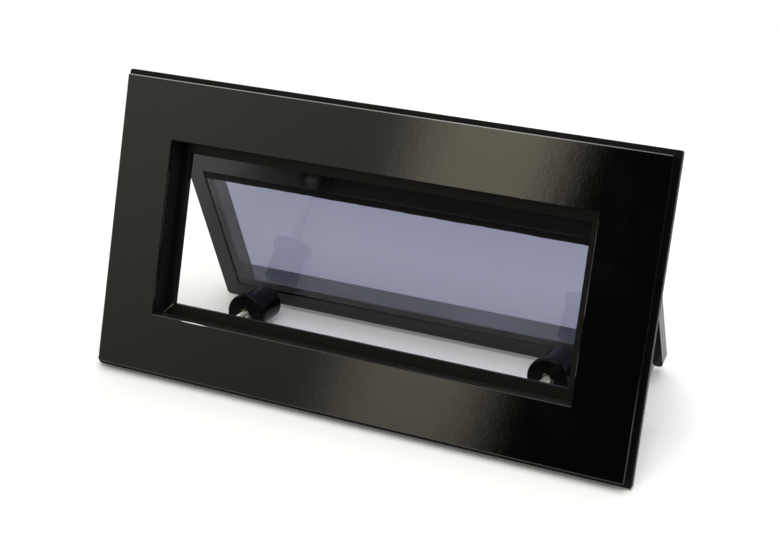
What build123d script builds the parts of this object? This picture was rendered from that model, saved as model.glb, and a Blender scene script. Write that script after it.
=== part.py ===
"""Opening portlight: a rectangular frame for a thin wall, with a top-hinged sash and two swing bolts.

X runs across, Y into the room behind the wall and Z up. The origin is the middle of the opening, on the
flange's face that lies against the wall. The sash stands open and the swing bolts are let go.
"""

import os
from math import cos, radians, sin

from build123d import *

# Trim ring outside the wall
RING_WIDTH = 365.0
RING_HEIGHT = 190.0
RING_BORDER = 38.2
RING_THICKNESS = 4.0
RING_CORNER = 1.2
RING_EDGE = 0.5
WALL_GAP = 2.6

# Main frame: flange, spigot through the wall and sealing lip
FLANGE_OVERHANG = 3.0
FLANGE_THICKNESS = 3.4
FLANGE_CORNER = 1.5
SPIGOT_WALL = 5.0
SPIGOT_GROOVE = 0.8
LIP_WIDTH = 7.4
LIP_THICKNESS = 3.6
LIP_SETBACK = 13.0

# Screws that pull the ring and the flange together
SCREW_INSET = 17.0
SCREW_HOLE_R = 2.2
SCREW_HEAD_R = 4.2
SCREW_HEAD_CONE = 90.0
RING_TAP_R = 1.65
RING_TAP_DEPTH = 2.6

# Seal in a groove on the back of the lip
SEAL_WIDTH = 5.0
SEAL_GROOVE_DEPTH = 1.5
SEAL_STAND = 3.0
SEAL_ROUND = 2.0

# Hinge line of the sash, behind the lip and above the opening, and how far the sash stands open, in degrees
HINGE_STAND = 37.2
HINGE_RISE = 20.7
SASH_OPEN = 38.8

# Sash: face bars, of which the top one runs up behind the lip, deep web and the rim at the back
SASH_OVERLAP = 12.7
SASH_DROP = 8.1
SASH_TOP_GAP = 9.6
SASH_CORNER = 3.0
SASH_BAR_WIDTH = 12.5
SASH_TOP_BAR = 15.9
SASH_BAR_DEPTH = 9.4
SASH_WEB = 8.4
SASH_DEPTH = 27.0
SASH_EDGE = 0.8
RIM_OVERHANG = 3.5
RIM_DEPTH = 10.0
LEDGE_WIDTH = 4.2
LEDGE_DEPTH = 3.0

# Glass and its sealant
GLASS_SETBACK = 0.8
BEAD_WIDTH = 1.0
TAPE_THICKNESS = 0.6

# Hinges
HINGE_INSET = 49.3
HINGE_PIN_R = 3.0
HINGE_EAR_R = 6.0
HINGE_EAR_WIDTH = 6.0
HINGE_ARM_R = 5.6
HINGE_ARM_WIDTH = 9.6
HINGE_ARM_FOOT = 16.0
HINGE_BASE_THICKNESS = 4.0
HINGE_BASE_HEIGHT = 22.0
HINGE_BASE_MARGIN = 6.0
PIN_HEAD_R = 4.5
PIN_HEAD_LENGTH = 1.6
SIDE_GAP = 0.2
PIN_CLEARANCE = 0.05

# Swing bolts: their pivot behind the flange and below the sash, how far they stand above straight out,
# in degrees, and their pieces
DOG_LEFT_INSET = 27.3
DOG_RIGHT_INSET = 40.8
DOG_STAND = 14.0
DOG_DROP = 7.1
DOG_RISE = 14.5
DOG_PIN_R = 2.5
DOG_EAR_R = 6.3
DOG_EAR_WIDTH = 4.0
DOG_BASE_THICKNESS = 4.0
DOG_BASE_MARGIN = 5.0
DOG_BASE_HEIGHT = 25.0
EYE_R = 6.2
EYE_WIDTH = 10.0
BOLT_R = 3.0
BOLT_GRIP = 18.0
KNOB_GAP = 4.8
KNOB_R = 11.8
KNOB_LENGTH = 29.0
KNOB_COLLAR_R = 14.0
KNOB_COLLAR_LENGTH = 5.0
KNOB_NECK_R = 10.6
KNOB_NECK_LENGTH = 1.8
KNOB_NECK_EDGE = 0.5
KNOB_EDGE = 1.5
INSERT_R = 4.4
INSERT_LENGTH = 14.0
INSERT_SETBACK = 3.0

# Places that follow from the sizes above
RING_BACK = -WALL_GAP
RING_FRONT = RING_BACK - RING_THICKNESS
OPENING_WIDTH = RING_WIDTH - 2 * RING_BORDER
OPENING_HEIGHT = RING_HEIGHT - 2 * RING_BORDER
FLANGE_WIDTH = RING_WIDTH + 2 * FLANGE_OVERHANG
FLANGE_HEIGHT = RING_HEIGHT + 2 * FLANGE_OVERHANG
LIP_FRONT = RING_FRONT + LIP_SETBACK
LIP_BACK = LIP_FRONT + LIP_THICKNESS
SEAL_INSET = (LIP_WIDTH - SPIGOT_WALL) / 2
SCREW_SPACING_X = (RING_WIDTH - 2 * SCREW_INSET) / 2
SCREW_SPACING_Z = RING_HEIGHT - 2 * SCREW_INSET
HINGE_Y = LIP_BACK + HINGE_STAND
HINGE_Z = OPENING_HEIGHT / 2 + HINGE_RISE
SASH_WIDTH = OPENING_WIDTH + 2 * SASH_OVERLAP
SASH_FACE_Y = LIP_BACK + SEAL_STAND
SASH_TOP_Z = HINGE_Z - SASH_TOP_GAP
SASH_BOTTOM_Z = -OPENING_HEIGHT / 2 - SASH_DROP
SASH_HEIGHT = SASH_TOP_Z - SASH_BOTTOM_Z
SASH_MIDDLE_Z = (SASH_TOP_Z + SASH_BOTTOM_Z) / 2
SASH_BACK_Y = SASH_FACE_Y + SASH_DEPTH
GLAZED_WIDTH = SASH_WIDTH - 2 * SASH_BAR_WIDTH
GLAZED_HEIGHT = SASH_HEIGHT - SASH_BAR_WIDTH - SASH_TOP_BAR
GLAZED_MIDDLE_Z = SASH_MIDDLE_Z + (SASH_BAR_WIDTH - SASH_TOP_BAR) / 2
RIM_Y = SASH_BACK_Y - RIM_DEPTH
LEDGE_Y = SASH_FACE_Y + SASH_BAR_DEPTH - LEDGE_DEPTH
DOG_Y = FLANGE_THICKNESS + DOG_STAND
DOG_Z = SASH_BOTTOM_Z - DOG_DROP
DOG_LUG_WIDTH = EYE_WIDTH + 2 * (SIDE_GAP + DOG_EAR_WIDTH)
DOG_PLACES = {"left": DOG_LEFT_INSET - OPENING_WIDTH / 2, "right": OPENING_WIDTH / 2 - DOG_RIGHT_INSET}
HINGE_X = OPENING_WIDTH / 2 - HINGE_INSET
HINGE_BRACKET_WIDTH = HINGE_ARM_WIDTH + 2 * (SIDE_GAP + HINGE_EAR_WIDTH)
SIDES = {"left": -1, "right": 1}

# Start of the knobs along their bolts, from which their outer ends stay clear of the open sash by a gap
sash_slant = radians(SASH_OPEN)
knob_slant = radians(SASH_OPEN - DOG_RISE)
sash_ahead = (HINGE_Y - DOG_Y) * cos(sash_slant) + (HINGE_Z - DOG_Z) * sin(sash_slant) - (HINGE_Y - SASH_FACE_Y)
KNOB_START = (sash_ahead - KNOB_R * sin(knob_slant) - KNOB_GAP) / cos(knob_slant) - KNOB_LENGTH

os.makedirs("parts", exist_ok=True)


def across(y, z=0.0):
    """A plane across the opening at depth y, facing into the room, with Z as its second axis."""
    return Plane(origin=(0, y, z), x_dir=(-1, 0, 0), z_dir=(0, 1, 0))


def upright(x):
    """A plane at x that faces along X, with Y as its first axis and Z as its second."""
    return Plane(origin=(x, 0, 0), x_dir=(0, 1, 0), z_dir=(1, 0, 0))


def turned(plane, y, z, degrees):
    """A plane turned about the line along X through y and z."""
    centre = Location((0, y, z))
    return Plane(centre * Location((0, 0, 0), (degrees, 0, 0)) * centre.inverse() * plane.location)


def on_sash(plane):
    """The place, with the sash open, of a plane of the shut sash."""
    return turned(plane, HINGE_Y, HINGE_Z, SASH_OPEN)


def on_dog(plane):
    """The place, with the swing bolts let go, of a plane of a swing bolt that stands straight out."""
    return turned(plane, DOG_Y, DOG_Z, DOG_RISE)


def save(piece, label):
    """Names a finished piece and writes it."""
    piece.part.label = label
    export_step(piece.part, f"parts/{label}.step")


def ring_sketch(width, height, inset_outside, inset_inside, corner=0.0):
    """A rectangular ring between two insets of one outline."""
    outer_width = width - 2 * inset_outside
    outer_height = height - 2 * inset_outside
    if corner:
        RectangleRounded(outer_width, outer_height, corner)
    else:
        Rectangle(outer_width, outer_height)
    Rectangle(width - 2 * inset_inside, height - 2 * inset_inside, mode=Mode.SUBTRACT)


# Trim ring
with BuildPart() as trim_ring:
    with BuildSketch(across(RING_FRONT)):
        ring_sketch(RING_WIDTH, RING_HEIGHT, 0, RING_BORDER, RING_CORNER)
    extrude(amount=RING_THICKNESS)
    chamfer(trim_ring.faces().sort_by(Axis.Y)[0].edges(), RING_EDGE)
    with Locations(across(RING_BACK)):
        with GridLocations(SCREW_SPACING_X, SCREW_SPACING_Z, 3, 2):
            Hole(RING_TAP_R, RING_TAP_DEPTH)
save(trim_ring, "trim_ring")

# Main frame: flange, spigot and lip in one welded piece
with BuildPart() as main_frame:
    with BuildSketch(across(0)):
        ring_sketch(FLANGE_WIDTH, FLANGE_HEIGHT, 0, RING_BORDER + FLANGE_OVERHANG, FLANGE_CORNER)
    extrude(amount=FLANGE_THICKNESS)
    with BuildSketch(across(RING_BACK)):
        ring_sketch(OPENING_WIDTH, OPENING_HEIGHT, -SPIGOT_WALL, 0)
    extrude(amount=LIP_BACK - RING_BACK)
    with BuildSketch(across(LIP_FRONT)):
        ring_sketch(OPENING_WIDTH, OPENING_HEIGHT, 0, LIP_WIDTH)
    extrude(amount=LIP_THICKNESS)
    chamfer(main_frame.faces().sort_by(Axis.Y)[0].inner_wires()[0].edges(), SPIGOT_GROOVE)
    with BuildSketch(across(LIP_BACK)):
        ring_sketch(OPENING_WIDTH, OPENING_HEIGHT, SEAL_INSET - SEAL_WIDTH / 2, SEAL_INSET + SEAL_WIDTH / 2)
    extrude(amount=-SEAL_GROOVE_DEPTH, mode=Mode.SUBTRACT)
    with Locations(across(FLANGE_THICKNESS)):
        with GridLocations(SCREW_SPACING_X, SCREW_SPACING_Z, 3, 2):
            CounterSinkHole(SCREW_HOLE_R, SCREW_HEAD_R, FLANGE_THICKNESS, SCREW_HEAD_CONE)
save(main_frame, "main_frame")

# Seal
with BuildPart() as frame_seal:
    with BuildSketch(across(LIP_BACK - SEAL_GROOVE_DEPTH)):
        ring_sketch(OPENING_WIDTH, OPENING_HEIGHT, SEAL_INSET - SEAL_WIDTH / 2, SEAL_INSET + SEAL_WIDTH / 2)
    extrude(amount=SEAL_GROOVE_DEPTH + SEAL_STAND)
    fillet(frame_seal.faces().sort_by(Axis.Y)[-1].edges(), SEAL_ROUND)
save(frame_seal, "frame_seal")

# Sash frame, welded of one deep profile
sash_inward = Axis(on_sash(across(0)).location)
with BuildPart() as sash_frame:
    with BuildSketch(on_sash(across(SASH_FACE_Y, SASH_MIDDLE_Z))):
        RectangleRounded(SASH_WIDTH, SASH_HEIGHT, SASH_CORNER)
        with Locations((0, GLAZED_MIDDLE_Z - SASH_MIDDLE_Z)):
            Rectangle(GLAZED_WIDTH, GLAZED_HEIGHT, mode=Mode.SUBTRACT)
    extrude(amount=SASH_BAR_DEPTH)
    fillet(sash_frame.faces().sort_by(sash_inward)[0].edges(), SASH_EDGE)
    with BuildSketch(on_sash(across(LEDGE_Y, GLAZED_MIDDLE_Z))):
        ring_sketch(GLAZED_WIDTH, GLAZED_HEIGHT, 0, LEDGE_WIDTH)
    extrude(amount=LEDGE_DEPTH)
    with BuildSketch(on_sash(across(SASH_FACE_Y + SASH_BAR_DEPTH, SASH_MIDDLE_Z))):
        ring_sketch(SASH_WIDTH, SASH_HEIGHT, 0, SASH_WEB, SASH_CORNER)
    extrude(amount=SASH_DEPTH - SASH_BAR_DEPTH)
    with BuildSketch(on_sash(across(RIM_Y, SASH_MIDDLE_Z))):
        with Locations((0, -RIM_OVERHANG / 2)):
            RectangleRounded(SASH_WIDTH + 2 * RIM_OVERHANG, SASH_HEIGHT + RIM_OVERHANG, SASH_CORNER)
        Rectangle(SASH_WIDTH - 2 * SASH_WEB, SASH_HEIGHT - 2 * SASH_WEB, mode=Mode.SUBTRACT)
    extrude(amount=RIM_DEPTH)
    rim_edges = sash_frame.faces().sort_by(sash_inward)[-1].outer_wire().edges()
    fillet(rim_edges, SASH_EDGE)
save(sash_frame, "sash_frame")

# Glass, and the bead and tape that hold it in the sash
with BuildPart() as glass_pane:
    with BuildSketch(on_sash(across(SASH_FACE_Y + GLASS_SETBACK, GLAZED_MIDDLE_Z))):
        Rectangle(GLAZED_WIDTH - 2 * BEAD_WIDTH, GLAZED_HEIGHT - 2 * BEAD_WIDTH)
    extrude(amount=LEDGE_Y - TAPE_THICKNESS - SASH_FACE_Y - GLASS_SETBACK)
save(glass_pane, "glass_pane")

with BuildPart() as glazing_sealant:
    with BuildSketch(on_sash(across(SASH_FACE_Y + GLASS_SETBACK, GLAZED_MIDDLE_Z))):
        ring_sketch(GLAZED_WIDTH, GLAZED_HEIGHT, 0, BEAD_WIDTH)
    extrude(amount=LEDGE_Y - SASH_FACE_Y - GLASS_SETBACK)
    with BuildSketch(on_sash(across(LEDGE_Y - TAPE_THICKNESS, GLAZED_MIDDLE_Z))):
        ring_sketch(GLAZED_WIDTH, GLAZED_HEIGHT, 0, LEDGE_WIDTH)
    extrude(amount=TAPE_THICKNESS)
save(glazing_sealant, "glazing_sealant")


def ear_sketch(outline, centre, ear_r, bore_r):
    """The side view of an ear: its outline, rounded about a bore."""
    Polygon(*outline, align=None)
    with Locations(centre):
        Circle(ear_r)
        Circle(bore_r, mode=Mode.SUBTRACT)


def headed_pin(x, length, radius, y, z):
    """A plain pin along X with a head at its outer end."""
    outer = 1 if x > 0 else -1
    with BuildPart() as piece:
        with BuildSketch(upright(x)):
            with Locations((y, z)):
                Circle(radius)
        extrude(amount=length / 2, both=True)
        with BuildSketch(upright(x + outer * length / 2)):
            with Locations((y, z)):
                Circle(PIN_HEAD_R)
        extrude(amount=outer * PIN_HEAD_LENGTH)
    return piece


# Hinges
for name, side in SIDES.items():
    x = side * HINGE_X
    base_top = HINGE_Z - HINGE_EAR_R + HINGE_BASE_HEIGHT
    with BuildPart() as hinge_bracket:
        with BuildSketch(across(FLANGE_THICKNESS)):
            with Locations((-x, base_top - HINGE_BASE_HEIGHT / 2)):
                Rectangle(HINGE_BRACKET_WIDTH + 2 * HINGE_BASE_MARGIN, HINGE_BASE_HEIGHT)
        extrude(amount=HINGE_BASE_THICKNESS)
        ear_root = FLANGE_THICKNESS + HINGE_BASE_THICKNESS / 2
        ear_outline = [
            (ear_root, HINGE_Z - HINGE_EAR_R),
            (HINGE_Y, HINGE_Z - HINGE_EAR_R),
            (HINGE_Y, HINGE_Z + HINGE_EAR_R),
            (ear_root, base_top),
        ]
        for ear in SIDES.values():
            with BuildSketch(upright(x + ear * (HINGE_BRACKET_WIDTH - HINGE_EAR_WIDTH) / 2)):
                ear_sketch(ear_outline, (HINGE_Y, HINGE_Z), HINGE_EAR_R, HINGE_PIN_R + PIN_CLEARANCE)
            extrude(amount=HINGE_EAR_WIDTH / 2, both=True)
    save(hinge_bracket, f"hinge_bracket_{name}")

    with BuildPart() as hinge_arm:
        with BuildSketch(on_sash(upright(x))):
            with BuildLine():
                Polyline(
                    (SASH_BACK_Y - HINGE_ARM_FOOT, SASH_TOP_Z),
                    (SASH_BACK_Y, SASH_TOP_Z),
                    (HINGE_Y + HINGE_ARM_R, HINGE_Z),
                    (HINGE_Y - HINGE_ARM_R, HINGE_Z),
                    close=True,
                )
            make_face()
            with Locations((HINGE_Y, HINGE_Z)):
                Circle(HINGE_ARM_R)
                Circle(HINGE_PIN_R + PIN_CLEARANCE, mode=Mode.SUBTRACT)
        extrude(amount=HINGE_ARM_WIDTH / 2, both=True)
    save(hinge_arm, f"hinge_arm_{name}")

    save(headed_pin(x, HINGE_BRACKET_WIDTH, HINGE_PIN_R, HINGE_Y, HINGE_Z), f"hinge_pin_{name}")

# Swing bolts
dog_outward = Axis(on_dog(across(0)).location)
for name, x in DOG_PLACES.items():
    base_bottom = DOG_Z + DOG_EAR_R - DOG_BASE_HEIGHT
    with BuildPart() as dog_lug:
        with BuildSketch(across(FLANGE_THICKNESS)):
            with Locations((-x, base_bottom + DOG_BASE_HEIGHT / 2)):
                Rectangle(DOG_LUG_WIDTH + 2 * DOG_BASE_MARGIN, DOG_BASE_HEIGHT)
        extrude(amount=DOG_BASE_THICKNESS)
        ear_root = FLANGE_THICKNESS + DOG_BASE_THICKNESS / 2
        ear_outline = [
            (ear_root, base_bottom),
            (DOG_Y, DOG_Z - DOG_EAR_R),
            (DOG_Y, DOG_Z + DOG_EAR_R),
            (ear_root, DOG_Z + DOG_EAR_R),
        ]
        for ear in SIDES.values():
            with BuildSketch(upright(x + ear * (DOG_LUG_WIDTH - DOG_EAR_WIDTH) / 2)):
                ear_sketch(ear_outline, (DOG_Y, DOG_Z), DOG_EAR_R, DOG_PIN_R + PIN_CLEARANCE)
            extrude(amount=DOG_EAR_WIDTH / 2, both=True)
    save(dog_lug, f"dog_lug_{name}")

    save(headed_pin(x, DOG_LUG_WIDTH, DOG_PIN_R, DOG_Y, DOG_Z), f"dog_pin_{name}")

    with BuildPart() as dog_bolt:
        with BuildSketch(upright(x)):
            with Locations((DOG_Y, DOG_Z)):
                Circle(EYE_R)
        extrude(amount=EYE_WIDTH / 2, both=True)
        with BuildSketch(on_dog(across(DOG_Y))):
            with Locations((-x, DOG_Z)):
                Circle(BOLT_R)
        extrude(amount=KNOB_START + BOLT_GRIP)
        with BuildSketch(upright(x)):
            with Locations((DOG_Y, DOG_Z)):
                Circle(DOG_PIN_R + PIN_CLEARANCE)
        extrude(amount=EYE_WIDTH, both=True, mode=Mode.SUBTRACT)
    save(dog_bolt, f"dog_bolt_{name}")

    knob_front = DOG_Y + KNOB_START
    with BuildPart() as dog_knob:
        with BuildSketch(on_dog(upright(x))):
            with Locations((knob_front, DOG_Z)):
                Rectangle(KNOB_LENGTH, KNOB_R, align=Align.MIN)
                Rectangle(KNOB_COLLAR_LENGTH, KNOB_COLLAR_R, align=Align.MIN)
            with Locations((knob_front + KNOB_COLLAR_LENGTH, DOG_Z + KNOB_NECK_R)):
                Rectangle(KNOB_NECK_LENGTH, KNOB_R, align=Align.MIN, mode=Mode.SUBTRACT)
        revolve(axis=Axis((x, DOG_Y, DOG_Z), dog_outward.direction))
        rims = dog_knob.edges().filter_by(GeomType.CIRCLE).sort_by(dog_outward)
        neck_rims = [rim for rim in rims[1:-1] if rim.radius > KNOB_NECK_R + KNOB_NECK_EDGE]
        fillet(neck_rims, KNOB_NECK_EDGE)
        rims = dog_knob.edges().filter_by(GeomType.CIRCLE).sort_by(dog_outward)
        fillet([rims[0], rims[-1]], KNOB_EDGE)
        with BuildSketch(on_dog(across(knob_front))):
            with Locations((-x, DOG_Z)):
                Circle(INSERT_R)
        extrude(amount=INSERT_SETBACK + INSERT_LENGTH, mode=Mode.SUBTRACT)
        with BuildSketch(on_dog(across(knob_front))):
            with Locations((-x, DOG_Z)):
                Circle(BOLT_R + PIN_CLEARANCE)
        extrude(amount=KNOB_LENGTH, mode=Mode.SUBTRACT)
    save(dog_knob, f"dog_knob_{name}")

    with BuildPart() as knob_insert:
        with BuildSketch(on_dog(across(knob_front + INSERT_SETBACK))):
            with Locations((-x, DOG_Z)):
                Circle(INSERT_R)
                Circle(BOLT_R + PIN_CLEARANCE, mode=Mode.SUBTRACT)
        extrude(amount=INSERT_LENGTH)
    save(knob_insert, f"knob_insert_{name}")
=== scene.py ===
"""Looks of an opening portlight on a pale table: satin black frames, a tinted pane and swing bolts."""

from math import atan, cos, pi, radians, sin

import bmesh
import bpy
from mathutils import Matrix, Vector


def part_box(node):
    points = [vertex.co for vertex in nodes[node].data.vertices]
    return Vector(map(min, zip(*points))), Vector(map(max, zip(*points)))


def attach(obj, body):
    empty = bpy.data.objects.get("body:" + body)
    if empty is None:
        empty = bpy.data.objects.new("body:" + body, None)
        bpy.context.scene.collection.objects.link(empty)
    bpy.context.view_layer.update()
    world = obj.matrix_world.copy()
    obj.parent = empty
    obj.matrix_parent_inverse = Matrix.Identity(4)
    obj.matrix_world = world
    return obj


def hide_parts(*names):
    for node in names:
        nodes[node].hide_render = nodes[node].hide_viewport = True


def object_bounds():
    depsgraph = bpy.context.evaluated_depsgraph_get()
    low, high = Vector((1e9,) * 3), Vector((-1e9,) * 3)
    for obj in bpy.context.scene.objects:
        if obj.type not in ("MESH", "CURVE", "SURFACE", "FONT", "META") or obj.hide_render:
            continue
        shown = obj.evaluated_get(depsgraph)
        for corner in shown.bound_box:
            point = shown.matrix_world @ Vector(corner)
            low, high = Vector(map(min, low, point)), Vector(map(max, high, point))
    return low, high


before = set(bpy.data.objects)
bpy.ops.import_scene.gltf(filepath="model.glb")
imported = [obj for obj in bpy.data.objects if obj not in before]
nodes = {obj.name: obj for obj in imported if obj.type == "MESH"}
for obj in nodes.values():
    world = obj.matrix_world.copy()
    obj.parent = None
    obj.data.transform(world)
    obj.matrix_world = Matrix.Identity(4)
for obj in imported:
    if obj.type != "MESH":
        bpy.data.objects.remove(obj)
cad_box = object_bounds()

MM = 0.001
SIDES = {"left": -1, "right": 1}

# Camera, fitted to the photograph's frame of 780 by 547 pixels
CAMERA_AT = (0.42628, -0.90314, 0.13619)
CAMERA_TURN = (82.0142, -7.4118, 25.4177)
SENSOR_WIDTH = 36.0
PHOTO_WIDTH = 780
FOCAL_PIXELS = 1645.78

# Places on the frame that the boxes of its pieces don't give
FLANGE_BACK = 3.4 * MM
BASE_FRONT = 7.4 * MM
SASH_OPEN = 38.8
HINGE_LINE = Vector((0, 47.2 * MM, 77.5 * MM))
DOG_RISE = 14.5
DOG_PIVOTS = {
    "left": Vector((-117 * MM, 17.4 * MM, -72 * MM)),
    "right": Vector((103.5 * MM, 17.4 * MM, -72 * MM)),
}

# Half widths and half heights of the opening, the ring and the shut sash, and the middle of the sash
OPENING_HALF = (144.3 * MM, 56.8 * MM)
RING_HALF = (182.5 * MM, 95 * MM)
SASH_HALF = (157 * MM, 66.4 * MM)
SASH_MIDDLE = Vector((0, 13 * MM, 1.5 * MM))

# Flange screws: radii of head and shank, their places, and each one's turn in radians per metre of X and Z
FLANGE_SCREW_HEAD = 4.1 * MM
FLANGE_SCREW_CONE = 2.0 * MM
FLANGE_SCREW_SHANK = 1.6 * MM
FLANGE_SCREW_LENGTH = 8.0 * MM
FLANGE_SCREW_BEVEL = 0.25 * MM
FLANGE_SCREW_X = 165.5 * MM
FLANGE_SCREW_Z = 78 * MM
FLANGE_SCREW_TURN = (37, 11)

# Base screws: the head's radius and height, the share of it that is rounded, and the inset from the base
BASE_SCREW_HEAD = 2.3 * MM
BASE_SCREW_HEIGHT = 1.7 * MM
BASE_SCREW_ROUND = 0.6
BASE_SCREW_INSET = {"hinge_bracket": 3.0 * MM, "dog_lug": 2.6 * MM}

# The six-sided socket of both kinds of screw
SOCKET_R = 1.45 * MM
SOCKET_DEPTH = 1.3 * MM

# Rivets: the washer and the dome that stands on it
RIVET_R = 3.9 * MM
RIVET_HEIGHT = 1.1 * MM
RIVET_RIM = 0.9 * MM
RIVET_RIM_BEVEL = 0.3 * MM
RIVET_DOME = 0.7 * MM
RIVET_DOME_BEVEL = 0.55 * MM

# Thread of the swing bolts
THREAD_R = 3.0 * MM
THREAD_ROOT = 2.45 * MM
THREAD_PITCH = 1.0 * MM
THREAD_START = 14 * MM
THREAD_END = 68.5 * MM
THREAD_OVERLAP = 1.0 * MM
THREAD_STEPS = 28

# Vertices closer than this are one, and edges that turn further than this stay sharp
MERGE = 0.001 * MM
SHARP_ANGLE = 35


def set_inputs(tree, node, inputs):
    """Values for a node's inputs, or sockets to link to them."""
    for key, value in inputs.items():
        if isinstance(value, bpy.types.NodeSocket):
            tree.links.new(value, node.inputs[key])
        else:
            node.inputs[key].default_value = value


def add(tree, kind, inputs=None, **settings):
    """A new node with its settings, and its inputs given as values or as sockets to link."""
    made = tree.nodes.new(kind)
    for name, value in settings.items():
        setattr(made, name, value)
    set_inputs(tree, made, inputs or {})
    return made


def maths(tree, operation, *values):
    """The result of a Math node."""
    return add(tree, "ShaderNodeMath", dict(enumerate(values)), operation=operation).outputs[0]


def smooth(tree, value, low, high, to_low=0.0, to_high=1.0):
    """A value mapped smoothly from one range to another and held at its ends."""
    ends = {"Value": value, "From Min": low, "From Max": high, "To Min": to_low, "To Max": to_high}
    return add(tree, "ShaderNodeMapRange", ends, interpolation_type="SMOOTHSTEP").outputs["Result"]


def mixed(tree, share, first, second):
    """Two colours mixed by a share."""
    return add(tree, "ShaderNodeMix", {0: share, 6: first, 7: second}, data_type="RGBA").outputs[2]


def scaled(tree, colour, level):
    """A colour times a level."""
    return add(tree, "ShaderNodeVectorMath", {0: colour, "Scale": level}, operation="SCALE").outputs[0]


def new_group(name, inputs, outputs):
    """A shader node group with named inputs and outputs, its input sockets and its output node's sockets."""
    tree = bpy.data.node_groups.new(name, "ShaderNodeTree")
    for label, (kind, value) in inputs.items():
        socket = tree.interface.new_socket(label, in_out="INPUT", socket_type=kind)
        if value is not None:
            socket.default_value = value
    for label, kind in outputs.items():
        tree.interface.new_socket(label, in_out="OUTPUT", socket_type=kind)
    return tree, tree.nodes.new("NodeGroupInput").outputs, tree.nodes.new("NodeGroupOutput").inputs


def place_group(tree, group, **inputs):
    """A group placed in a material with its own values, whose labels are given with underscores."""
    made = add(tree, "ShaderNodeGroup", node_tree=group)
    set_inputs(tree, made, {label.replace("_", " "): value for label, value in inputs.items()})
    return made.outputs


# Shared effects

# Orange peel: the scale and height of its long waves against the short ones, and the noise levels of smudges
LONG_WAVE_SCALE = 0.28
LONG_WAVE_HEIGHT = 1.4
SMUDGE_LEVELS = (0.42, 0.68)

# Chips: the noise level at which they start, how far their amount lowers it, and their soft edge
CHIP_LEVEL = 0.78
CHIP_DROP = 0.3
CHIP_EDGE = 0.03

# Dust: the radius of a speck in its cell, the value above which a cell has one, and the scratches' levels
SPECK_RADIUS = 0.09
SPECK_CHOICE = 0.93
SCRATCH_LEVELS = (0.74, 0.8)

# Worn spots: how ragged they are and where their edge fades, in shares of their reach
SPOT_RAGGED = 0.5
SPOT_EDGE = (0.95, 1.25)

# Mitres: how far the joint wanders, and where it fades, in shares of its width
MITRE_WANDER = 0.6 * MM
MITRE_EDGE = (0.2, 1.0)


def make_peel_group():
    """Sprayed paint: the fine waves of orange peel, and slow changes of gloss from handling."""
    tree, given, out = new_group(
        "Sprayed paint",
        {"Vector": ("NodeSocketVector", None), "Wave size": ("NodeSocketFloat", 1.6),
         "Gloss change": ("NodeSocketFloat", 0.05), "Roughness": ("NodeSocketFloat", 0.2)},
        {"Height": "NodeSocketFloat", "Roughness": "NodeSocketFloat", "Smudge": "NodeSocketFloat"})
    scale = maths(tree, "DIVIDE", 1000.0, given["Wave size"])
    long_scale = maths(tree, "MULTIPLY", scale, LONG_WAVE_SCALE)
    waves = add(tree, "ShaderNodeTexNoise",
                {"Vector": given["Vector"], "Scale": scale, "Detail": 1.5, "Roughness": 0.45})
    long_waves = add(tree, "ShaderNodeTexNoise",
                     {"Vector": given["Vector"], "Scale": long_scale, "Detail": 1.0})
    height = maths(tree, "MULTIPLY_ADD", long_waves.outputs[0], LONG_WAVE_HEIGHT, waves.outputs[0])
    tree.links.new(height, out["Height"])
    smears = add(tree, "ShaderNodeTexNoise", {
        "Vector": given["Vector"], "Scale": 22.0, "Detail": 5.0, "Roughness": 0.6, "Distortion": 1.2})
    smudge = smooth(tree, smears.outputs[0], *SMUDGE_LEVELS)
    tree.links.new(smudge, out["Smudge"])
    roughness = maths(tree, "MULTIPLY_ADD", smudge, given["Gloss change"], given["Roughness"])
    tree.links.new(roughness, out["Roughness"])
    return tree


def make_edge_group():
    """Rubbed and chipped paint along the edge of a rectangle about the origin of X and Z."""
    tree, given, out = new_group(
        "Rubbed edge",
        {"Vector": ("NodeSocketVector", None), "Half width": ("NodeSocketFloat", 0.1),
         "Half height": ("NodeSocketFloat", 0.1), "Reach": ("NodeSocketFloat", 0.0006),
         "Amount": ("NodeSocketFloat", 0.5)},
        {"Rubbed": "NodeSocketFloat", "Chipped": "NodeSocketFloat"})
    place = add(tree, "ShaderNodeSeparateXYZ", {0: given["Vector"]}).outputs
    side = maths(tree, "SUBTRACT", maths(tree, "ABSOLUTE", place[0]), given["Half width"])
    end = maths(tree, "SUBTRACT", maths(tree, "ABSOLUTE", place[2]), given["Half height"])
    distance = maths(tree, "ABSOLUTE", maths(tree, "MAXIMUM", side, end))
    share = maths(tree, "DIVIDE", distance, given["Reach"])
    near = maths(tree, "SUBTRACT", 1.0, smooth(tree, share, 0.0, 1.0))
    patches = add(tree, "ShaderNodeTexNoise",
                  {"Vector": given["Vector"], "Scale": 60.0, "Detail": 6.0, "Roughness": 0.7})
    level = maths(tree, "SUBTRACT", CHIP_LEVEL, maths(tree, "MULTIPLY", given["Amount"], CHIP_DROP))
    chips = smooth(tree, patches.outputs[0], level, maths(tree, "ADD", level, CHIP_EDGE))
    tree.links.new(near, out["Rubbed"])
    tree.links.new(maths(tree, "MULTIPLY", near, chips), out["Chipped"])
    return tree


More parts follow.
